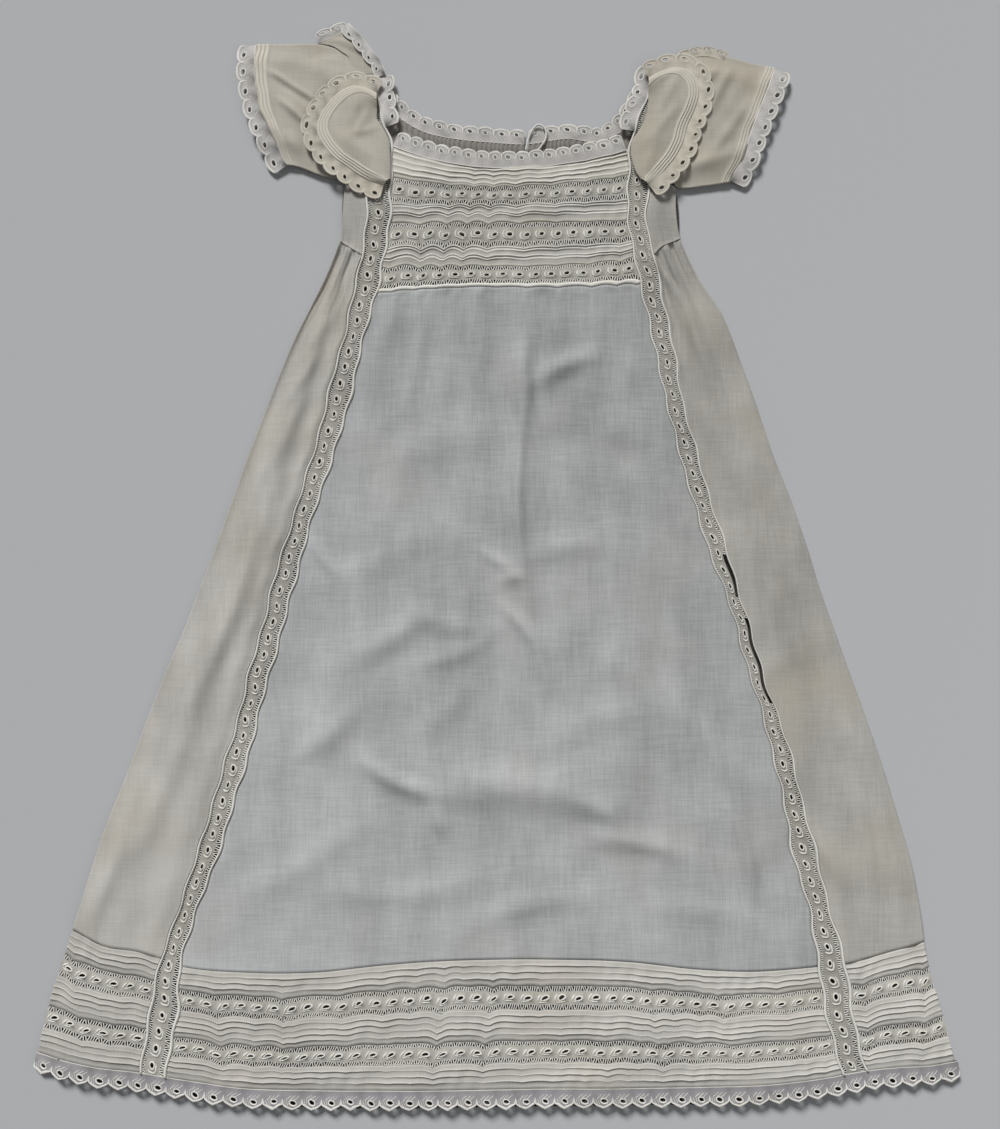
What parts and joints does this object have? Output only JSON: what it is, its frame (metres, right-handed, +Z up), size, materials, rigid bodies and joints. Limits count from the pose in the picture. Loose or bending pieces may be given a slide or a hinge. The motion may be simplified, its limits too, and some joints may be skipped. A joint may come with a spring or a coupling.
{
  "type": "baby gown",
  "caption": "Long white cotton baby gown laid flat, with a tucked openwork yoke, long front robings, short sleeves, shoulder frills and a scalloped tucked hem.",
  "frame": {"origin": "on the table under the middle of the gown's outline, at the flat underside", "axes": "+X towards the viewer's right across the gown, +Y from the hem to the neck, +Z up from the table"},
  "size_m": [0.5861, 0.7239, 0.0109],
  "materials": {
    "front_cloth": "cool off-white open plain-weave cotton, matt",
    "side_cloth": "warm off-white plain-weave cotton with faint yellow stains, matt",
    "back_cloth": "warm off-white plain-weave cotton, matt",
    "tucked_cloth": "off-white cotton stitched in fine tucks, matt",
    "openwork": "fine open ground with white thread eyelets and drawn-thread ladders",
    "scalloped_edging": "off-white cut-thread edging with buttonholed scallops",
    "string": "thin twisted off-white cotton cord"
  },
  "bodies": {
    "root": {"back_skirt": "back_cloth", "back_bodice_left": "back_cloth", "back_bodice_right": "back_cloth", "sleeve_left_back": "back_cloth", "sleeve_right_back": "back_cloth", "back_hem_edging": "scalloped_edging", "hem_edging": "scalloped_edging", "sleeve_edging_left": "scalloped_edging", "sleeve_edging_right": "scalloped_edging", "wing_edging_left": "scalloped_edging", "wing_edging_right": "scalloped_edging", "neck_edging_front": "scalloped_edging", "strap_edging_left": "scalloped_edging", "strap_edging_right": "scalloped_edging", "back_neck_edging_left": "scalloped_edging", "back_neck_edging_right": "scalloped_edging", "wing_back_edging_left": "scalloped_edging", "wing_back_edging_right": "scalloped_edging", "front_skirt_centre": "front_cloth", "front_skirt_side_left": "side_cloth", "front_skirt_side_right": "side_cloth", "bodice_side_left": "side_cloth", "bodice_side_right": "side_cloth", "sleeve_left_front": "side_cloth", "sleeve_right_front": "side_cloth", "wing_left": "side_cloth", "wing_right": "side_cloth", "wing_back_left": "side_cloth", "yoke_top_tucks": "tucked_cloth", "yoke_tucks_1": "tucked_cloth", "yoke_tucks_2": "tucked_cloth", "yoke_piping": "tucked_cloth", "yoke_insertion_1": "openwork", "yoke_insertion_2": "openwork", "yoke_insertion_3": "openwork", "robing_left": "openwork", "robing_right": "openwork", "hem_upper_tucks_left": "tucked_cloth", "hem_middle_tucks_left": "tucked_cloth", "hem_lower_tucks_left": "tucked_cloth", "hem_upper_insertion_left": "openwork", "hem_lower_insertion_left": "openwork", "hem_upper_tucks_centre": "tucked_cloth", "hem_middle_tucks_centre": "tucked_cloth", "hem_lower_tucks_centre": "tucked_cloth", "hem_upper_insertion_centre": "openwork", "hem_lower_insertion_centre": "openwork", "hem_upper_tucks_right": "tucked_cloth", "hem_middle_tucks_right": "tucked_cloth", "hem_lower_tucks_right": "tucked_cloth", "hem_upper_insertion_right": "openwork", "hem_lower_insertion_right": "openwork", "drawstring": "string"}
  },
  "joints": []
}
